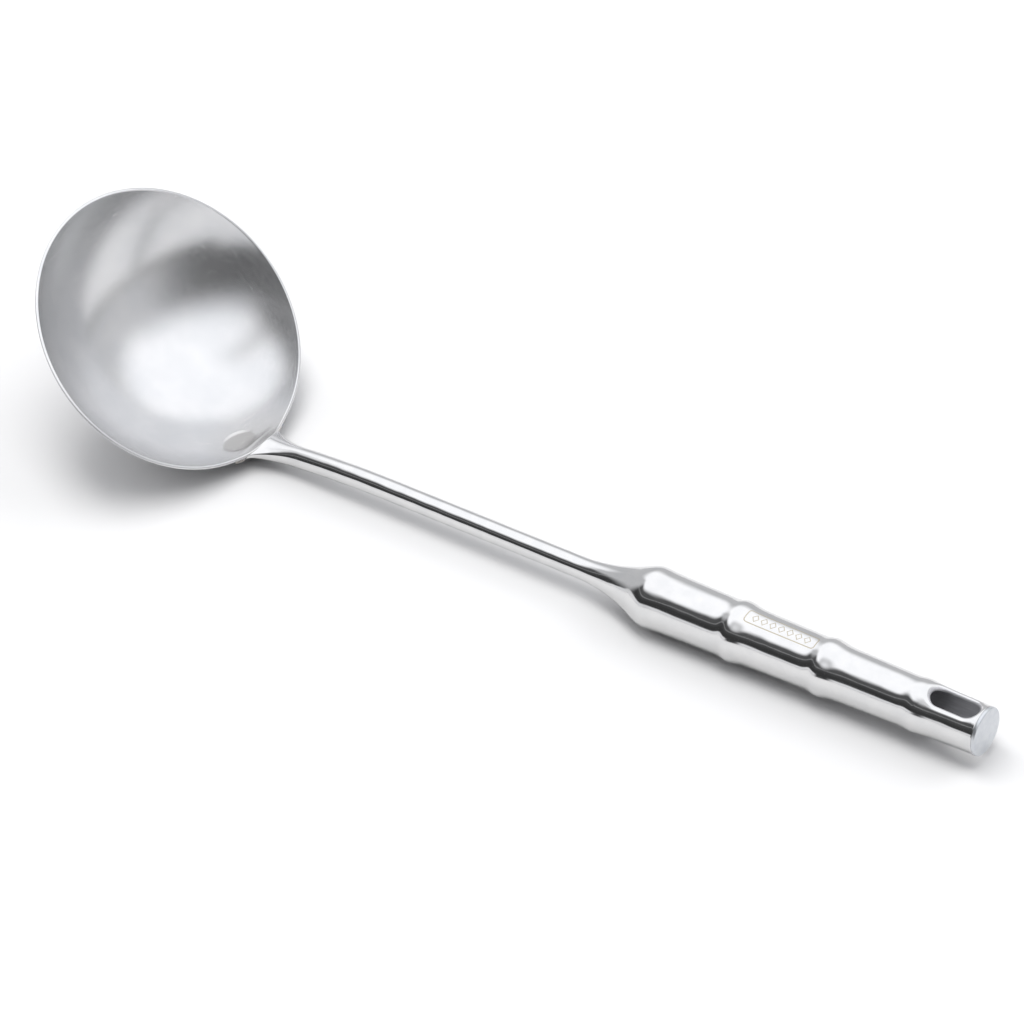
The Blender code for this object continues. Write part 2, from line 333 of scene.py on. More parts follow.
def join_rings(bm, first, second):
    """Faces between two rings of vertices, where a ring of one vertex is a pole."""
    count = max(len(first), len(second))
    for i in range(count):
        j = (i + 1) % count
        corners = [first[i % len(first)], first[j % len(first)],
                   second[j % len(second)], second[i % len(second)]]
        bm.faces.new(list(dict.fromkeys(corners)))


def lofted(rings, cyclic=False):
    """A bmesh skin over rings of points, closed at both ends or back on itself."""
    bm = bmesh.new()
    loops = [[bm.verts.new(point) for point in ring] for ring in rings]
    for first, second in zip(loops, loops[1:]):
        join_rings(bm, first, second)
    if cyclic:
        join_rings(bm, loops[-1], loops[0])
    else:
        for loop in (loops[0], loops[-1]):
            if len(loop) > 2:
                bm.faces.new(loop)
    return bm


def circle(x, radius, height=0.0):
    """A ring about the X axis, which starts at the top and goes round by the +Y side."""
    step = 2 * math.pi / TUBE_SEGMENTS
    return [Vector((x, radius * math.sin(i * step), height + radius * math.cos(i * step)))
            for i in range(TUBE_SEGMENTS)]


# ---------------------------------------------------------------- bowl

def bowl_to_ladle(u, v, w):
    """Bowl frame to ladle frame: u points to the neck in the rim's plane, w out of the bowl."""
    return Vector((u * math.cos(BOWL_TILT) + w * math.sin(BOWL_TILT), v,
                   RIM_HEIGHT - u * math.sin(BOWL_TILT) + w * math.cos(BOWL_TILT)))


def sphere_point(radius, tilt, heading):
    """A point of a sphere about the bowl's centre, tilt away from the bowl's bottom.

    The sheet is eased from the sphere towards a parabola, which is less steep at the rim.
    """
    outward = SPHERE_RADIUS * math.sin(tilt) / RIM_RADIUS
    ease = BOWL_DEPTH * outward ** 2 - SPHERE_RADIUS * (1.0 - math.cos(tilt))
    return bowl_to_ladle(radius * math.sin(tilt) * math.cos(heading),
                         radius * math.sin(tilt) * math.sin(heading),
                         CENTRE_RISE - radius * math.cos(tilt) + PARABOLA_SHARE * ease)


def bowl_underside(x, y):
    """Height of the plain sphere's outer surface, below its centre."""
    centre = bowl_to_ladle(0.0, 0.0, CENTRE_RISE)
    return centre.z - math.sqrt(SPHERE_RADIUS ** 2 - (x - centre.x) ** 2 - y ** 2)


def shaft_axis(x):
    """Height of the round shaft's axis, which droops towards the bowl."""
    return -BEND_DROP * (max(BEND_START - x, 0.0) / BEND_LENGTH) ** 2


def shaft_top(x):
    """Height of the shaft's upper line, which dives under the bowl."""
    if x > TONGUE_ROUND:
        return shaft_axis(x) + SHAFT_RADIUS
    under_bowl = bowl_underside(x, 0.0) - FIT_GAP
    return mix(under_bowl, shaft_axis(x) + SHAFT_RADIUS, smoothstep(x, TONGUE_FLAT, TONGUE_ROUND))


def neck_lift(x, y):
    """How far the sheet is raised where the shaft passes below it, with a crease across it."""
    rise = max(shaft_top(x) + FIT_GAP - bowl_underside(x, 0.0), 0.0)
    rise *= smoothstep(x, RISE_START, RISE_END)
    rise += RIDGE_HEIGHT * bell(x - RIDGE_PLACE, RIDGE_LENGTH)
    rise += LIP_RISE * smoothstep(x, RISE_END, RISE_END + LIP_RISE_LENGTH)
    return rise * bell(y, NECK_WIDTH)


def press_mark(x, y):
    """Depth of the shallow oval that was pressed down on the tongue."""
    away = math.hypot((x - MARK_PLACE[0]) / MARK_SIZE[0], (y - MARK_PLACE[1]) / MARK_SIZE[1])
    return MARK_DEPTH * (1.0 - smoothstep(away, *MARK_EDGE))


def bowl_point(sphere_radius, fraction, heading):
    """A point of the bowl: fraction 0 is the bottom, 1 the rim, and heading 0 the neck."""
    side = RIM_RADIUS * math.sin(heading)
    lip = LIP_LENGTH * bell(side, LIP_WIDTH) if math.cos(heading) > 0 else 0.0
    tilt = fraction * (RIM_ANGLE + lip / SPHERE_RADIUS)
    outer = sphere_point(SPHERE_RADIUS, tilt, heading)
    change = neck_lift(outer.x, outer.y) if outer.x > RISE_START else 0.0
    change -= press_mark(outer.x, outer.y)
    return sphere_point(sphere_radius, tilt, heading) + Vector((0.0, 0.0, change))


def make_bowl(material):
    """The bowl, with headings packed closer at the neck and rings closer at the rim."""
    steps = [2 * math.pi * i / BOWL_SEGMENTS for i in range(BOWL_SEGMENTS)]
    headings = [step - HEADING_PACKING * math.sin(step) for step in steps]
    fractions = [i / BOWL_RINGS for i in range(1, BOWL_RINGS + 1)]
    fractions = [f * (1.0 + RING_PACKING - RING_PACKING * f) for f in fractions]
    last = 1.0 - RIM_CORNER / (SPHERE_RADIUS * RIM_ANGLE)
    fractions = [f * last for f in fractions]

    def wall(radius):
        """Rings from the bowl's bottom to just below its rim's rounded corner."""
        rings = [[bowl_point(radius, f, heading) for heading in headings] for f in fractions]
        return [[bowl_point(radius, 0.0, 0.0)]] + rings

    edge = []
    for side in (1, -1):
        for step in (0, 1, 2) if side == 1 else (2, 1, 0):
            angle = math.pi / 4 * step
            from_middle = SHEET / 2 - RIM_CORNER * (1 - math.cos(angle))
            radius = SPHERE_RADIUS - SHEET / 2 + side * from_middle
            fraction = mix(last, 1.0, math.sin(angle))
            edge.append([bowl_point(radius, fraction, heading) for heading in headings])
    rings = wall(SPHERE_RADIUS)[:-1] + edge + wall(SPHERE_RADIUS - SHEET)[-2::-1]
    return piece_from("pressed_bowl", lofted(rings), material, sharp_angle=60.0)


# ---------------------------------------------------------------- shaft

def shaft_bottom(x):
    """Height of the shaft's lower line, which curves down to the tongue's floor."""
    floor = TONGUE_FLOOR + TONGUE_FLOOR_CURVE * (x - TONGUE_TIP) ** 2
    return mix(floor, shaft_axis(x) - SHAFT_RADIUS, smoothstep(x, *TONGUE_LIFT))


def tongue_ring(x):
    """A flat, round-cornered section of the tongue."""
    to_tip = (TONGUE_TIP + TONGUE_HALF_WIDTH - x) / TONGUE_HALF_WIDTH
    half_width = TONGUE_HALF_WIDTH * math.sqrt(max(1.0 - max(to_tip, 0.0) ** 2, 0.0))
    middle = (shaft_top(x) + shaft_bottom(x)) / 2
    half_height = (shaft_top(x) - shaft_bottom(x)) / 2
    ring = []
    for i in range(TUBE_SEGMENTS):
        angle = 2 * math.pi * i / TUBE_SEGMENTS
        side, up = math.sin(angle), math.cos(angle)
        stretch = (abs(side) ** TONGUE_POWER + abs(up) ** TONGUE_POWER) ** (-1.0 / TONGUE_POWER)
        ring.append(Vector((x, half_width * side * stretch, middle + half_height * up * stretch)))
    return ring


def lip_edge(y):
    """The upper edge of the bowl's free lip, over the shaft."""
    heading = math.asin(y / RIM_RADIUS)
    return bowl_point(SPHERE_RADIUS - SHEET, 1.0, heading)


def collar_rings():
    """From the bowl's lip to the round shaft: a flat mouth that narrows in two hollow fillets."""
    rings = []
    length = COLLAR_END - lip_edge(0.0).x
    slope = 2 * BEND_DROP * (BEND_START - COLLAR_END) / BEND_LENGTH ** 2
    for k in range(COLLAR_RINGS + 1):
        t = k / COLLAR_RINGS
        h00, h01 = 2 * t ** 3 - 3 * t ** 2 + 1, 3 * t ** 2 - 2 * t ** 3
        h10, h11 = t ** 3 - 2 * t ** 2 + t, t ** 3 - t ** 2
        ring = []
        for i in range(TUBE_SEGMENTS):
            angle = 2 * math.pi * i / TUBE_SEGMENTS
            side, up = math.sin(angle), math.cos(angle)
            y = COLLAR_HALF_WIDTH * side
            edge = lip_edge(y)
            top = edge.z - COLLAR_STEP
            highest_floor = top - 2 * COLLAR_EDGE
            belly = bell(y, COLLAR_BELLY_WIDTH)
            floor = min(shaft_bottom(edge.x) * belly + highest_floor * (1 - belly), highest_floor)
            middle, half = (top + floor) / 2, (top - floor) / 2
            height = middle + half * math.copysign(abs(up) ** COLLAR_SECTION_POWER, up)
            start = Vector((edge.x + COLLAR_GAP, y, height))
            end = Vector((COLLAR_END, SHAFT_RADIUS * side, shaft_axis(COLLAR_END) + SHAFT_RADIUS * up))
            spread = side ** 2
            leave = Vector((length * mix(1.0, COLLAR_SIDE_LEAVE, spread),
                            -COLLAR_SIDE_CLOSING * y * spread, 0.0))
            arrive = Vector((length * mix(1.0, COLLAR_SIDE_ARRIVE, spread), 0.0, length * slope))
            ring.append(start * h00 + leave * h10 + end * h01 + arrive * h11)
        rings.append(ring)
    return rings


def make_shaft(material):
    """The tongue, the collar and the round tube, which is hollow from the collar to the grip."""
    tongue = [tongue_ring(TONGUE_TIP + step * MILLIMETRE) for step in TIP_STEPS_MM]
    tongue += [tongue_ring(TONGUE_BACK_START + TONGUE_BACK_STEP * i) for i in range(TONGUE_BACK_RINGS)]
    stations = [COLLAR_END + BEND_STEP * i for i in range(1, BEND_RINGS + 1)]
    stations += [*STRAIGHT_STATIONS, SHAFT_END + FIT_GAP]
    tube = [circle(x, SHAFT_RADIUS, shaft_axis(x)) for x in stations]
    bore = SHAFT_RADIUS - SHAFT_WALL
    inner = [circle(x, bore, shaft_axis(x)) for x in stations[::-BORE_STRIDE]]
    inner.append(circle(COLLAR_END, BORE_TIP_SHARE * bore, shaft_axis(COLLAR_END)))
    rings = tongue + collar_rings() + tube + inner
    return piece_from("polished_shaft", lofted(rings), material)


def make_weld_ring(material):
    """The ring of weld metal between the shaft and the grip, ground and polished flush."""
    start, end = SHAFT_END + FIT_GAP, GRIP_START
    bore = SHAFT_RADIUS - SHAFT_WALL
    rings = [circle(start, bore), circle(start, SHAFT_RADIUS),
             circle(end, SHAFT_RADIUS), circle(end, bore)]
    return piece_from("flush_weld_ring", lofted(rings, cyclic=True), material)


# ---------------------------------------------------------------- grip

def smooth_min(a, b, blend):
    """The lesser of two lengths, rounded where they cross."""
    h = max(blend - abs(a - b), 0.0) / blend
    return min(a, b) - h * h * blend / 4


def grip_radius(x):
    """Outer radius of the grip: a flared front, a tapering body and three soft nodes."""
    body = SHOULDER_RADIUS - GRIP_TAPER * (x - FLARE_END)
    body += SHOULDER_CROWN * bell(x - FLARE_END, SHOULDER_CROWN_WIDTH)
    for place, height, before, after in NODES:
        spread = before if x < place else after
        body += height * math.exp(-0.5 * ((x - place) / spread) ** 2)
    if x >= FLARE_END + FLARE_REACH:
        return body
    t = max((x - FLARE_START) / (FLARE_END - FLARE_START), 0.0)
    return smooth_min(SHAFT_RADIUS + FLARE_RISE * t ** FLARE_POWER, body, SHOULDER_BLEND)


def grip_stations():
    """Places along the grip where its section is drawn, with even steps beside the slot."""
    stations = [GRIP_START + FRONT_STEP * i for i in range(FRONT_RINGS)]
    x = stations[-1]
    while x < SLOT_REGION[0] - BODY_STOP:
        x += BODY_STEP
        stations.append(x)
    stations += [mix(SLOT_REGION[0], SLOT_REGION[1], i / SLOT_RINGS) for i in range(SLOT_RINGS + 1)]
    return stations


def slot_core(place):
    """The point of the slot's middle line nearest to a place in plan."""
    straight = SLOT_HALF_LENGTH - SLOT_HALF_WIDTH
    return Vector((min(max(place.x, SLOT_CENTRE - straight), SLOT_CENTRE + straight), 0.0))


def slot_edge(place):
    """The slot outline's point nearest to a place in plan."""
    core = slot_core(place)
    return core + (place - core).normalized() * SLOT_HALF_WIDTH


def slot_patch(bm, corner, radius_at, upper):
    """Faces from the slot's outline to a frame of the tube's grid. Returns the outline's vertices."""
    loops = []
    for share in SLOT_SHARES:
        loop = []
        for vertex in corner:
            far = Vector((vertex.co.x, vertex.co.y))
            near = slot_edge(far)
            place = near.lerp(far, share)
            away = (place - near).length
            dish = SLOT_DISH * max(1.0 - away / SLOT_DISH_WIDTH, 0.0) ** 2 * (1.0 - share)
            height = math.sqrt(radius_at(place.x) ** 2 - place.y ** 2) - dish
            loop.append(bm.verts.new((place.x, place.y, upper * height)))
        loops.append(loop)
    loops.append(corner)
    for first, second in zip(loops, loops[1:]):
        join_rings(bm, first, second)
    return loops[0]


def tube_with_slots(bm, stations, radius_at):
    """One wall of the grip as a grid with the two slots left open. Returns its ends and outlines."""
    count = TUBE_SEGMENTS
    grid = [[bm.verts.new(point) for point in circle(x, radius_at(x))] for x in stations]
    first = min(range(len(stations)), key=lambda j: abs(stations[j] - SLOT_REGION[0]))
    last = min(range(len(stations)), key=lambda j: abs(stations[j] - SLOT_REGION[1]))
    centres = (0, count // 2)

    def in_slot(j, i):
        near = min(min((i - c) % count, (c - 1 - i) % count) for c in centres)
        return first <= j < last and near < SLOT_SPAN

    for j in range(len(stations) - 1):
        for i in range(count):
            if not in_slot(j, i):
                k = (i + 1) % count
                bm.faces.new((grid[j][i], grid[j][k], grid[j + 1][k], grid[j + 1][i]))
    outlines = []
    for centre, upper in zip(centres, (1, -1)):
        left, right = centre - SLOT_SPAN, centre + SLOT_SPAN
        frame = [grid[first][i % count] for i in range(left, right)]
        frame += [grid[j][right % count] for j in range(first, last)]
        frame += [grid[last][i % count] for i in range(right, left, -1)]
        frame += [grid[j][left % count] for j in range(last, first, -1)]
        outlines.append(slot_patch(bm, frame, radius_at, upper))
    return grid[0], grid[-1], outlines


def make_grip(material, bore_material):
    """The hollow grip, with the walls rolled in around its hanging slot and a dull bore."""
    bm = bmesh.new()
    stations = grip_stations()
    front_out, back_out, slots_out = tube_with_slots(bm, stations, grip_radius)
    front_in, back_in, slots_in = tube_with_slots(bm, stations, lambda x: grip_radius(x) - GRIP_WALL)
    join_rings(bm, front_out, front_in)
    radius = grip_radius(GRIP_END)
    rim = [[bm.verts.new(point) for point in circle(x, r)]
           for x, r in ((GRIP_END - EDGE_BREAK, radius), (GRIP_END, radius - EDGE_BREAK),
                        (GRIP_END, radius - GRIP_WALL))]
    loops = [back_out] + rim + [back_in]
    for first, second in zip(loops, loops[1:]):
        join_rings(bm, first, second)
    for outline_out, outline_in in zip(slots_out, slots_in):
        rolled = []
        for inset, drop in SLOT_ROLL_STEPS:
            loop = []
            for outer, inner in zip(outline_out, outline_in):
                place = Vector((outer.co.x, outer.co.y))
                inward = (slot_core(place) - place).normalized() * SLOT_ROLL * inset
                height = mix(outer.co.z, inner.co.z, drop)
                loop.append(bm.verts.new((place.x + inward.x, place.y + inward.y, height)))
            rolled.append(loop)
        loops = [outline_out] + rolled + [outline_in]
        for first, second in zip(loops, loops[1:]):
            join_rings(bm, first, second)
    for face in bm.faces:
        middle = face.calc_center_median()
        bore_edge = grip_radius(middle.x) - BORE_FACE_SHARE * GRIP_WALL
        face.material_index = math.hypot(middle.y, middle.z) < bore_edge
    grip = piece_from("polished_grip", bm, material, sharp_angle=50.0)
    grip.data.materials.append(bore_material)
    return grip


def make_end_cap(material):
    """The satin disc in the grip's end, with a softened edge and a spigot inside."""
    radius = grip_radius(GRIP_END) - CAP_UNDERSIZE
    spigot = radius - GRIP_WALL - SPIGOT_GAP
    profile = [(CAP_START - SPIGOT_DEPTH, 0.0), (CAP_START - SPIGOT_DEPTH, spigot), (CAP_START, spigot),
               (CAP_START, radius - EDGE_BREAK), (CAP_START + EDGE_BREAK, radius)]
    for i in range(CAP_BEVEL_STEPS + 1):
        angle = math.pi / 2 * i / CAP_BEVEL_STEPS
        profile.append((CAP_END - CAP_BEVEL + CAP_BEVEL * math.sin(angle),
                        radius - CAP_BEVEL + CAP_BEVEL * math.cos(angle)))
    profile += [(CAP_END, share * radius) for share in CAP_FACE_SHARES] + [(CAP_END, 0.0)]
    rings = [circle(x, r) if r > 0 else [Vector((x, 0.0, 0.0))] for x, r in profile]
    return piece_from("satin_end_cap", lofted(rings), material)


# ---------------------------------------------------------------- weld beads

def bead_path(side, t):
    """Along the tongue's edge, then outwards under the bowl's lip to its corner."""
    beside_tongue = TONGUE_HALF_WIDTH + BEAD_RADIUS + BEAD_GAP
    if t < BEAD_TURN:
        x = mix(*BEAD_ALONG_TONGUE, t / BEAD_TURN)
        y = beside_tongue
    else:
        s = (t - BEAD_TURN) / (1 - BEAD_TURN)
        y = mix(beside_tongue, BEAD_END_WIDTH, s)
        x = lip_edge(y).x - mix(*BEAD_BEHIND_LIP, s)
    y *= side
    return Vector((x, y, bowl_underside(x, y) + neck_lift(x, y) - BEAD_SINK * BEAD_RADIUS))


def make_neck_bead(name, side, material):
    """A lumpy bead of weld metal between the tongue and the bowl, out to the lip's corner."""
    rings = []
    for k in range(BEAD_RINGS + 1):
        t = k / BEAD_RINGS
        centre = bead_path(side, t)
        before, after = bead_path(side, max(t - BEAD_PROBE, 0.0)), bead_path(side, min(t + BEAD_PROBE, 1.0))
        ahead = (after - before).normalized()
        out = ahead.cross(Vector((0.0, 0.0, 1.0))).normalized()
        up = out.cross(ahead)
        lumps = (BEAD_SIZE + BEAD_RIPPLE[0] * math.sin(2 * math.pi * BEAD_RIPPLE[1] * t)
                 + BEAD_WAVE[0] * math.sin(2 * math.pi * BEAD_WAVE[1] * t + side))
        radius = BEAD_RADIUS * lumps * math.sqrt(max(1.0 - (2 * t - 1) ** BEAD_END_POWER, BEAD_LEAST_END))
        rings.append([centre + (out * math.sin(a) + up * math.cos(a)) * radius
                      for a in (2 * math.pi * i / BEAD_SEGMENTS for i in range(BEAD_SEGMENTS))])
    return piece_from(name, lofted(rings), material, sharp_angle=60.0)


# ---------------------------------------------------------------- materials

class Graph:
    """Short forms for building a material's or the world's nodes."""

    def __init__(self, tree):
        self.tree = tree

    def node(self, kind, **values):
        node = self.tree.nodes.new(kind)
        for key, value in values.items():
            setattr(node, key, value)
        return node

    def set(self, socket, value):
        if isinstance(value, bpy.types.NodeSocket):
            self.tree.links.new(value, socket)
        else:
            socket.default_value = value

    def math(self, operation, *inputs, clamp=False):
        node = self.node("ShaderNodeMath", operation=operation, use_clamp=clamp)
        for socket, value in zip(node.inputs, inputs):
            self.set(socket, value)
        return node.outputs[0]

    def vector(self, operation, *inputs):
        node = self.node("ShaderNodeVectorMath", operation=operation)
        for socket, value in zip(node.inputs, inputs):
            self.set(socket, value)
        return node.outputs["Value" if operation in ("LENGTH", "DISTANCE") else "Vector"]

    def separate(self, value):
        """The X, Y and Z of a vector."""
        node = self.node("ShaderNodeSeparateXYZ")
        self.set(node.inputs[0], value)
        return node.outputs

    def lerp(self, a, b, t):
        """From a at 0 to b at 1."""
        return self.math("ADD", self.math("MULTIPLY", self.math("SUBTRACT", 1.0, t), a),
                         self.math("MULTIPLY", t, b))

    def bell(self, value, width):
        """A bell curve of height 1 around 0."""
        square = self.math("POWER", self.math("DIVIDE", value, width), 2.0)
        return self.math("EXPONENT", self.math("MULTIPLY", square, -1.0))

    def length(self, a, b):
        return self.math("SQRT", self.math("ADD", self.math("MULTIPLY", a, a), self.math("MULTIPLY", b, b)))

    def noise(self, place, scale, detail, roughness=0.5):
        node = self.node("ShaderNodeTexNoise")
        self.set(node.inputs["Vector"], place)
        node.inputs["Scale"].default_value = scale
        node.inputs["Detail"].default_value = detail
        node.inputs["Roughness"].default_value = roughness
        return node.outputs["Fac"]

    def ramp(self, value, stops):
        """A grey or coloured ramp from (place, value) pairs."""
        node = self.node("ShaderNodeValToRGB")
        node.color_ramp.interpolation = "EASE"
        elements = node.color_ramp.elements
        while len(elements) < len(stops):
            elements.new(0.5)
        for element, (place, level) in zip(elements, stops):
            element.position = place
            element.color = (*level, 1.0) if isinstance(level, tuple) else (level, level, level, 1.0)
        self.set(node.inputs[0], value)
        return node.outputs["Color"]

    def blend(self, factor, a, b):
        """Mix two colours. Sockets 0, 6 and 7 and output 2 are the Mix node's colour ones."""
        node = self.node("ShaderNodeMix", data_type="RGBA")
        self.set(node.inputs[0], factor)
        self.set(node.inputs[6], a)
        self.set(node.inputs[7], b)
        return node.outputs[2]

    def map_range(self, value, low, high, to_low, to_high, interpolation="LINEAR"):
        node = self.node("ShaderNodeMapRange", interpolation_type=interpolation)
        for socket, number in zip(node.inputs, (value, low, high, to_low, to_high)):
            self.set(socket, number)
        return node.outputs[0]

    def banded(self, noise, low, high):
        """Spread a noise's usual band from low to high."""
        return self.map_range(noise, *NOISE_BAND, low, high)

    def ease(self, value, low, high, to_low, to_high):
        return self.map_range(value, low, high, to_low, to_high, "SMOOTHSTEP")


def new_material(name):
    """A material with its Principled shader as metal, and the ladle-frame place of each point."""
    material = bpy.data.materials.new(name)
    material.use_nodes = True
    graph = Graph(material.node_tree)
    shader = material.node_tree.nodes["Principled BSDF"]
    shader.inputs["Metallic"].default_value = 1.0
    place = graph.node("ShaderNodeAttribute", attribute_name="ladle").outputs["Vector"]
    return material, graph, shader, place


def bump(graph, shader, height, distance):
    node = graph.node("ShaderNodeBump")
    node.inputs["Strength"].default_value = 1.0
    node.inputs["Distance"].default_value = distance
    graph.set(node.inputs["Height"], height)
    graph.set(shader.inputs["Normal"], node.outputs[0])


def polished_steel(name, roughness, plate=None):
    """Bright polished tube: faint lengthwise polishing lines, soft clouding and a slow ripple."""
    material, graph, shader, place = new_material(name)
    lines = graph.noise(graph.vector("MULTIPLY", place, (0.04, 1.0, 1.0)),
                        scale=3200.0, detail=4.0, roughness=0.6)
    clouds = graph.noise(place, scale=160.0, detail=3.0, roughness=0.55)
    ripple = graph.noise(graph.vector("MULTIPLY", place, (0.5, 1.0, 1.0)),
                         scale=210.0, detail=1.0, roughness=0.4)
    colour = graph.ramp(clouds, [(0.25, (0.655, 0.655, 0.655)), (0.75, (0.705, 0.70, 0.695))])
    rough = graph.math("ADD", graph.banded(lines, -0.025, 0.035),
                       graph.banded(clouds, roughness - 0.02, roughness + 0.03))
    if plate:
        mask = plate(graph, place)
        colour = graph.blend(mask, colour, LABEL_COLOUR)
        rough = graph.math("ADD", rough, graph.math("MULTIPLY", mask, LABEL_ROUGHER))
    graph.set(shader.inputs["Base Color"], colour)
    graph.set(shader.inputs["Roughness"], rough)
    bump(graph, shader, graph.math("ADD", ripple, graph.math("MULTIPLY", lines, 0.006)), POLISH_BUMP)
    return material


def plate_mask(graph, place):
    """An etched label on the grip: a round-cornered outline around a row of plain lozenges."""
    x, y, z = graph.separate(place)
    along = graph.math("SUBTRACT", x, PLATE_PLACE)
    angle = graph.math("SUBTRACT", graph.math("ARCTAN2", y, z), PLATE_ANGLE)
    across = graph.math("MULTIPLY", angle, grip_radius(PLATE_PLACE))
    qx = graph.math("SUBTRACT", graph.math("ABSOLUTE", along), PLATE_HALF_LENGTH - PLATE_CORNER)
    qy = graph.math("SUBTRACT", graph.math("ABSOLUTE", across), PLATE_HALF_WIDTH - PLATE_CORNER)
    outside = graph.length(graph.math("MAXIMUM", qx, 0.0), graph.math("MAXIMUM", qy, 0.0))
    inside = graph.math("MINIMUM", graph.math("MAXIMUM", qx, qy), 0.0)
    distance = graph.math("SUBTRACT", graph.math("ADD", outside, inside), PLATE_CORNER)
    outline = graph.math("LESS_THAN", graph.math("ABSOLUTE", distance), PLATE_LINE)
    # A hundred pitches keep the repeated coordinate positive
    shifted = graph.math("ADD", along, 100 * LOZENGE_PITCH)
    cell = graph.math("PINGPONG", shifted, LOZENGE_PITCH / 2)
    lozenge = graph.math("ADD", graph.math("DIVIDE", cell, LOZENGE_HALF_SIZE[0]),
                         graph.math("DIVIDE", graph.math("ABSOLUTE", across), LOZENGE_HALF_SIZE[1]))
    from_line = graph.math("ABSOLUTE", graph.math("SUBTRACT", lozenge, 1.0))
    ring = graph.math("LESS_THAN", from_line, LOZENGE_LINE)
    within = graph.math("LESS_THAN", graph.math("ABSOLUTE", along), PLATE_HALF_LENGTH - PLATE_MARGIN)
    return graph.math("MAXIMUM", outline, graph.math("MULTIPLY", ring, within), clamp=True)


def satin_bowl_steel():
    """Satin bowl: circular brushing, crossing scratches, a warm tint at the neck and a darker base colour
    over the press mark.

    It is set a little below full metal, which lightens its shaded side. That value was chosen for the look.
    """
    material, graph, shader, place = new_material("bowl_satin_steel")
    centre = bowl_to_ladle(0.0, 0.0, 0.0)
    turn = graph.node("ShaderNodeVectorRotate", rotation_type="Y_AXIS")
    turn.inputs["Angle"].default_value = -BOWL_TILT
    graph.set(turn.inputs["Vector"], graph.vector("SUBTRACT", place, tuple(centre)))
    local = turn.outputs[0]
    u, v = graph.separate(local)[:2]
    unit = graph.vector("NORMALIZE", graph.vector("MULTIPLY", local, (1.0, 1.0, 0.0)))
    around = graph.vector("MULTIPLY", unit, (0.006, 0.006, 0.0))
    outward = graph.node("ShaderNodeCombineXYZ")
    graph.set(outward.inputs[2], graph.length(u, v))
    polar = graph.vector("ADD", around, outward.outputs[0])
    brush = graph.noise(polar, scale=2600.0, detail=5.0, roughness=0.65)
    scratch = graph.noise(graph.vector("MULTIPLY", local, (1.0, 0.06, 1.0)),
                          scale=2200.0, detail=3.0, roughness=0.6)
    clouds = graph.noise(local, scale=60.0, detail=3.0)
    colour = graph.ramp(clouds, [(0.3, (0.63, 0.635, 0.645)), (0.7, (0.68, 0.68, 0.685))])
    warm = graph.map_range(graph.vector("DISTANCE", place, WARM_PLACE), *WARM_REACH, 1.0, 0.0)
    colour = graph.blend(graph.math("MULTIPLY", warm, WARM_SHARE), colour, WARM_COLOUR)
    # The base colour is made darker over the press mark
    from_mark = graph.vector("SUBTRACT", place, (*MARK_PLACE, 0.0))
    from_mark = graph.vector("MULTIPLY", from_mark, (1.0 / MARK_SIZE[0], 1.0 / MARK_SIZE[1], 0.0))
    mark = graph.ease(graph.vector("LENGTH", from_mark), *MARK_COLOUR_EDGE, MARK_COLOUR_SHARE, 0.0)
    graph.set(shader.inputs["Base Color"], graph.blend(mark, colour, MARK_COLOUR))
    rough = graph.math("ADD", graph.banded(brush, 0.19, 0.26),
                       graph.map_range(scratch, 0.35, 0.7, -0.02, 0.03))
    graph.set(shader.inputs["Roughness"], rough)
    shader.inputs["Metallic"].default_value = BOWL_METALLIC
    height = graph.math("ADD", graph.math("MULTIPLY", brush, 0.5), graph.math("MULTIPLY", scratch, 0.3))
    bump(graph, shader, height, BOWL_BUMP)
    return material


def bore_steel():
    """The grip's unpolished inside: dull grey with drawing lines."""
    material, graph, shader, place = new_material("grip_bore_steel")
    lines = graph.noise(graph.vector("MULTIPLY", place, (0.05, 1.0, 1.0)),
                        scale=1800.0, detail=3.0, roughness=0.6)
    graph.set(shader.inputs["Base Color"],
              graph.ramp(lines, [(0.3, (0.50, 0.50, 0.52)), (0.7, (0.60, 0.60, 0.62))]))
    shader.inputs["Metallic"].default_value = BORE_METALLIC
    graph.set(shader.inputs["Roughness"], graph.banded(lines, 0.45, 0.6))
    return material


def satin_cap_steel():
    """Satin disc: fine parallel brushing, slightly blue."""
    material, graph, shader, place = new_material("cap_satin_steel")
    lines = graph.noise(graph.vector("MULTIPLY", place, (1.0, 0.05, 1.0)),
                        scale=4200.0, detail=4.0, roughness=0.6)
    clouds = graph.noise(place, scale=300.0, detail=2.0)
    graph.set(shader.inputs["Base Color"],
              graph.ramp(clouds, [(0.3, (0.60, 0.62, 0.65)), (0.7, (0.66, 0.68, 0.70))]))
    graph.set(shader.inputs["Roughness"], graph.banded(lines, 0.30, 0.42))
    bump(graph, shader, lines, CAP_BUMP)
    return material


def weld_steel():
    """Weld metal as laid: uneven, duller and touched by heat."""
    material, graph, shader, place = new_material("weld_metal")
    lumps = graph.noise(place, scale=900.0, detail=4.0, roughness=0.6)
    tint = graph.noise(place, scale=400.0, detail=2.0)
    brown, straw, blue = (0.34, 0.32, 0.30), (0.52, 0.49, 0.45), (0.42, 0.44, 0.48)
    graph.set(shader.inputs["Base Color"], graph.ramp(tint, [(0.3, brown), (0.5, straw), (0.7, blue)]))
    graph.set(shader.inputs["Roughness"], graph.banded(lumps, 0.22, 0.48))
    bump(graph, shader, lumps, WELD_BUMP)
    return material


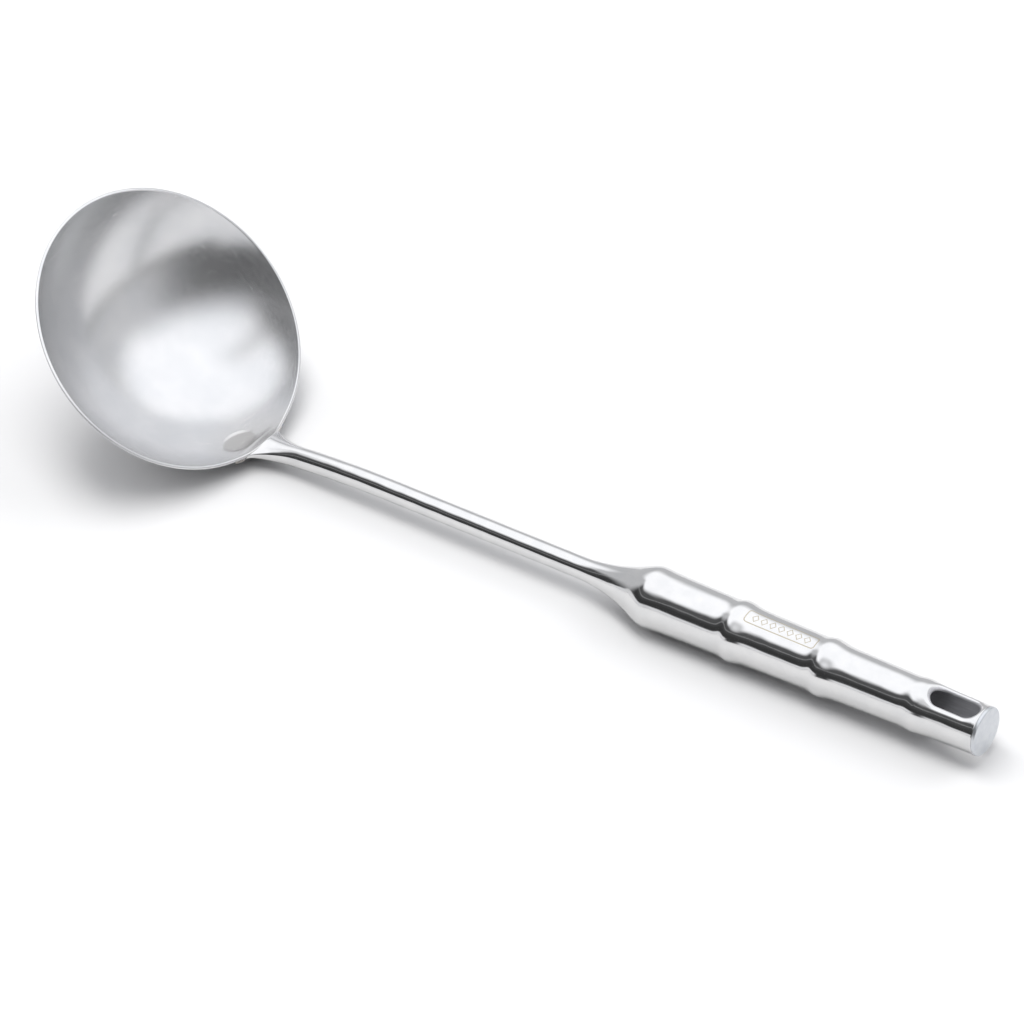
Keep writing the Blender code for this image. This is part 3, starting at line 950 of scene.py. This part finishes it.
def floor_white():
    """Plain paper with barely visible clouding. Its level is set so that the lit floor reads white."""
    material = bpy.data.materials.new("studio_paper")
    material.use_nodes = True
    graph = Graph(material.node_tree)
    shader = material.node_tree.nodes["Principled BSDF"]
    clouds = graph.noise(graph.node("ShaderNodeTexCoord").outputs["Object"], scale=3.0, detail=2.0)
    graph.set(shader.inputs["Base Color"],
              graph.ramp(clouds, [(0.3, (0.485, 0.485, 0.489)), (0.7, (0.495, 0.495, 0.499))]))
    shader.inputs["Roughness"].default_value = 0.9
    shader.inputs["Specular IOR Level"].default_value = 0.0
    return material


# ---------------------------------------------------------------- studio

def make_floor():
    bm = bmesh.new()
    bmesh.ops.create_grid(bm, x_segments=8, y_segments=8, size=FLOOR_HALF_SIZE)
    mesh = bpy.data.meshes.new("studio_floor")
    bm.to_mesh(mesh)
    bm.free()
    mesh.materials.append(floor_white())
    floor = bpy.data.objects.new("studio_floor", mesh)
    bpy.context.collection.objects.link(floor)
    return floor


def make_world():
    """A studio shaped to the photo's reflections, and not a measured or neutral one.

    It has a wide soft light overhead with a dark spur in it, pale walls behind and to the
    right, and in front a dark room with a narrow bright bar and a pale haze at table height.
    """
    world = bpy.data.worlds.new("studio")
    world.use_nodes = True
    bpy.context.scene.world = world
    graph = Graph(world.node_tree)
    direction = graph.node("ShaderNodeTexCoord").outputs["Generated"]
    x, y, z = graph.separate(direction)
    level_part = graph.vector("NORMALIZE", graph.vector("MULTIPLY", direction, (1.0, 1.0, 0.0)))
    heading = graph.separate(level_part)[1]
    left = graph.ease(x, *LEFT_FADE_X, 1.0, 0.0)
    back = graph.ease(heading, *BACK_FADE_HEADING, 0.0, 1.0)

    wall_start = graph.map_range(left, 0.0, 1.0, *WALL_START)
    wall_end = graph.map_range(left, 0.0, 1.0, *WALL_END)
    wall = graph.ease(heading, wall_start, wall_end, 0.0, 1.0)
    room = graph.ease(z, *ROOM_FADE_Z, *ROOM_LEVELS)
    bar = graph.bell(graph.math("SUBTRACT", z, BAR_Z), BAR_WIDTH)
    room = graph.math("ADD", room, graph.math("MULTIPLY", bar, BAR_LEVEL))
    haze = graph.math("MULTIPLY", graph.ease(z, *HAZE_FADE_Z, 1.0, 0.0),
                      graph.ease(x, *HAZE_FADE_X, HAZE_LEVEL, 0.0))
    room = graph.math("ADD", haze, room)
    low = graph.lerp(room, WALL_LEVEL, wall)

    top_start = graph.lerp(graph.map_range(left, 0.0, 1.0, *TOP_START), TOP_AT_BACK[0], back)
    top_end = graph.lerp(graph.map_range(left, 0.0, 1.0, *TOP_END), TOP_AT_BACK[1], back)
    top = graph.ease(z, top_start, top_end, 0.0, 1.0)
    spur = graph.bell(graph.math("SUBTRACT", x, graph.math("MULTIPLY", y, SPUR_SLOPE)), SPUR_WIDTH)
    spur = graph.math("MULTIPLY", spur, graph.ease(y, *SPUR_FADE_Y, SPUR_DEPTH, 0.0))
    top = graph.math("MULTIPLY", top, graph.math("SUBTRACT", 1.0, spur))

    level = graph.lerp(low, TOP_LEVEL, top)
    tint = graph.node("ShaderNodeCombineXYZ")
    for socket, share in zip(tint.inputs, WORLD_TINT):
        graph.set(socket, graph.math("MULTIPLY", level, share))
    background = world.node_tree.nodes["Background"]
    graph.set(background.inputs["Color"], tint.outputs[0])
    background.inputs["Strength"].default_value = 1.0


def add_area_light(name, place, energy, size):
    """An area light that faces the row's origin. It lights the scene but isn't reflected."""
    data = bpy.data.lights.new(name, "AREA")
    data.size = size
    data.energy = energy
    light = bpy.data.objects.new(name, data)
    light.location = Vector(place)
    light.rotation_mode = "QUATERNION"
    light.rotation_quaternion = (-light.location).to_track_quat("-Z", "Y")
    light.visible_glossy = False
    bpy.context.collection.objects.link(light)
    return data


def make_key_light():
    data = add_area_light("key", KEY_PLACE, KEY_ENERGY, KEY_SIZE[0])
    data.shape = "RECTANGLE"
    data.size_y = KEY_SIZE[1]
    data.color = KEY_COLOUR


def make_fill_lights():
    """Two soft lights, beyond the bowl and behind the grip, that reach under the ladle."""
    for name, place, energy in FILL_LIGHTS:
        add_area_light(name, place, energy, FILL_SIZE)


def make_card():
    """A low grey card around the bowl's right side, seen only in the reflections."""
    bm = bmesh.new()
    centre = LADLE @ bowl_to_ladle(0.0, 0.0, 0.0)
    columns = []
    for i in range(CARD_STEPS + 1):
        heading = mix(CARD_HEADINGS[0], CARD_HEADINGS[1], i / CARD_STEPS)
        foot = Vector((centre.x + CARD_RADIUS * math.cos(heading),
                       centre.y + CARD_RADIUS * math.sin(heading), CARD_FOOT))
        columns.append((bm.verts.new(foot), bm.verts.new(foot + Vector((0.0, 0.0, CARD_HEIGHT)))))
    for first, second in zip(columns, columns[1:]):
        bm.faces.new((first[0], second[0], second[1], first[1]))
    mesh = bpy.data.meshes.new("reflection_card")
    bm.to_mesh(mesh)
    bm.free()
    material = bpy.data.materials.new("card_grey")
    material.use_nodes = True
    graph = Graph(material.node_tree)
    shader = material.node_tree.nodes["Principled BSDF"]
    y = graph.separate(graph.node("ShaderNodeTexCoord").outputs["Object"])[1]
    tone = graph.ease(y, *CARD_FADE, *CARD_TONES)
    emission = graph.node("ShaderNodeEmission")
    graph.set(emission.inputs["Strength"], tone)
    output = next(n for n in material.node_tree.nodes if n.type == "OUTPUT_MATERIAL")
    graph.set(output.inputs["Surface"], emission.outputs[0])
    material.node_tree.nodes.remove(shader)
    mesh.materials.append(material)
    card = bpy.data.objects.new("reflection_card", mesh)
    card.visible_camera = card.visible_diffuse = card.visible_shadow = False
    bpy.context.collection.objects.link(card)
    return card


def make_camera():
    """The camera looks along the direction that its yaw, pitch and roll give in the ladle frame."""
    forward = Vector((math.sin(CAMERA_YAW) * math.cos(CAMERA_PITCH),
                      math.cos(CAMERA_YAW) * math.cos(CAMERA_PITCH), -math.sin(CAMERA_PITCH)))
    level = Vector((math.cos(CAMERA_YAW), -math.sin(CAMERA_YAW), 0.0))
    upright = level.cross(forward)
    right = level * math.cos(CAMERA_ROLL) + upright * math.sin(CAMERA_ROLL)
    up = upright * math.cos(CAMERA_ROLL) - level * math.sin(CAMERA_ROLL)
    turn = Matrix((right, up, -forward)).transposed().to_4x4()
    data = bpy.data.cameras.new("camera")
    data.lens = CAMERA_LENS
    data.sensor_width = SENSOR_WIDTH
    data.clip_start, data.clip_end = CAMERA_CLIP
    camera = bpy.data.objects.new("camera", data)
    camera.matrix_world = LADLE @ Matrix.Translation(CAMERA_PLACE) @ turn
    bpy.context.collection.objects.link(camera)
    bpy.context.scene.camera = camera


# ---------------------------------------------------------------- the scene

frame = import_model()
LADLE = ladle_matrix(frame["record"])

bowl_steel = satin_bowl_steel()
shaft_steel = polished_steel("shaft_polished_steel", SHAFT_ROUGHNESS)
grip_steel = polished_steel("grip_polished_steel", GRIP_ROUGHNESS, plate_mask)
weld_metal = weld_steel()

pieces = ((make_bowl(bowl_steel), "bowl", "bowl_satin_steel"),
          (make_shaft(shaft_steel), "shaft_tube", "shaft_polished_steel"),
          (make_weld_ring(shaft_steel), "joint_weld_ring", "shaft_polished_steel"),
          (make_grip(grip_steel, bore_steel()), "grip_tube", "grip_polished_steel"),
          (make_end_cap(satin_cap_steel()), "end_cap", "cap_brushed_steel"),
          (make_neck_bead("left_neck_bead", 1, weld_metal), "neck_weld_left", "weld_metal"),
          (make_neck_bead("right_neck_bead", -1, weld_metal), "neck_weld_right", "weld_metal"))
for piece, node, slot in pieces:
    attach(piece, "root")
    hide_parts(node)

make_floor()
make_card()
make_world()
make_key_light()
make_fill_lights()
make_camera()
bpy.context.scene.view_settings.view_transform = "Standard"
